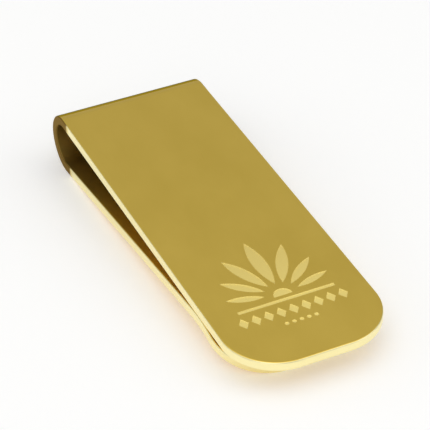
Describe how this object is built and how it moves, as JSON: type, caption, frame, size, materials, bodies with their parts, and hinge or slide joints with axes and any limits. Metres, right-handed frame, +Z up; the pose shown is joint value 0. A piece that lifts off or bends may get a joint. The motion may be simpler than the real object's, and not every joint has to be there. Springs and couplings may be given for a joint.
{
  "type": "money clip",
  "caption": "Strip of gold-plated spring metal folded back on itself, flat in front with rounded corners and an engraved ornament, that grips folded banknotes.",
  "frame": {"origin": "on the table, under the middle of the clip's bounding box, as it lies with its front plate up", "axes": "+X along the clip from the spring fold to the free end, +Y across it, +Z up; the front plate slopes down by about 4 degrees towards +X because the clip rests on its fold and on the tip of its lip"},
  "size_m": [0.0586, 0.02, 0.008],
  "materials": {
    "gold": "polished, gold plated"
  },
  "bodies": {
    "arm": {"clamp_arm": "gold", "spring_fold": "gold"},
    "front": {"front_plate": "gold"}
  },
  "joints": [
    {"name": "jaw_flex", "type": "hinge", "parent": "arm", "child": "front", "pos_m": [-0.02737, 0, 0.00401], "axis": [0, -1, 0], "range_deg": [0, 8], "stiffness_Nm_per_rad": 9, "deforming": ["spring_fold"]}
  ]
}
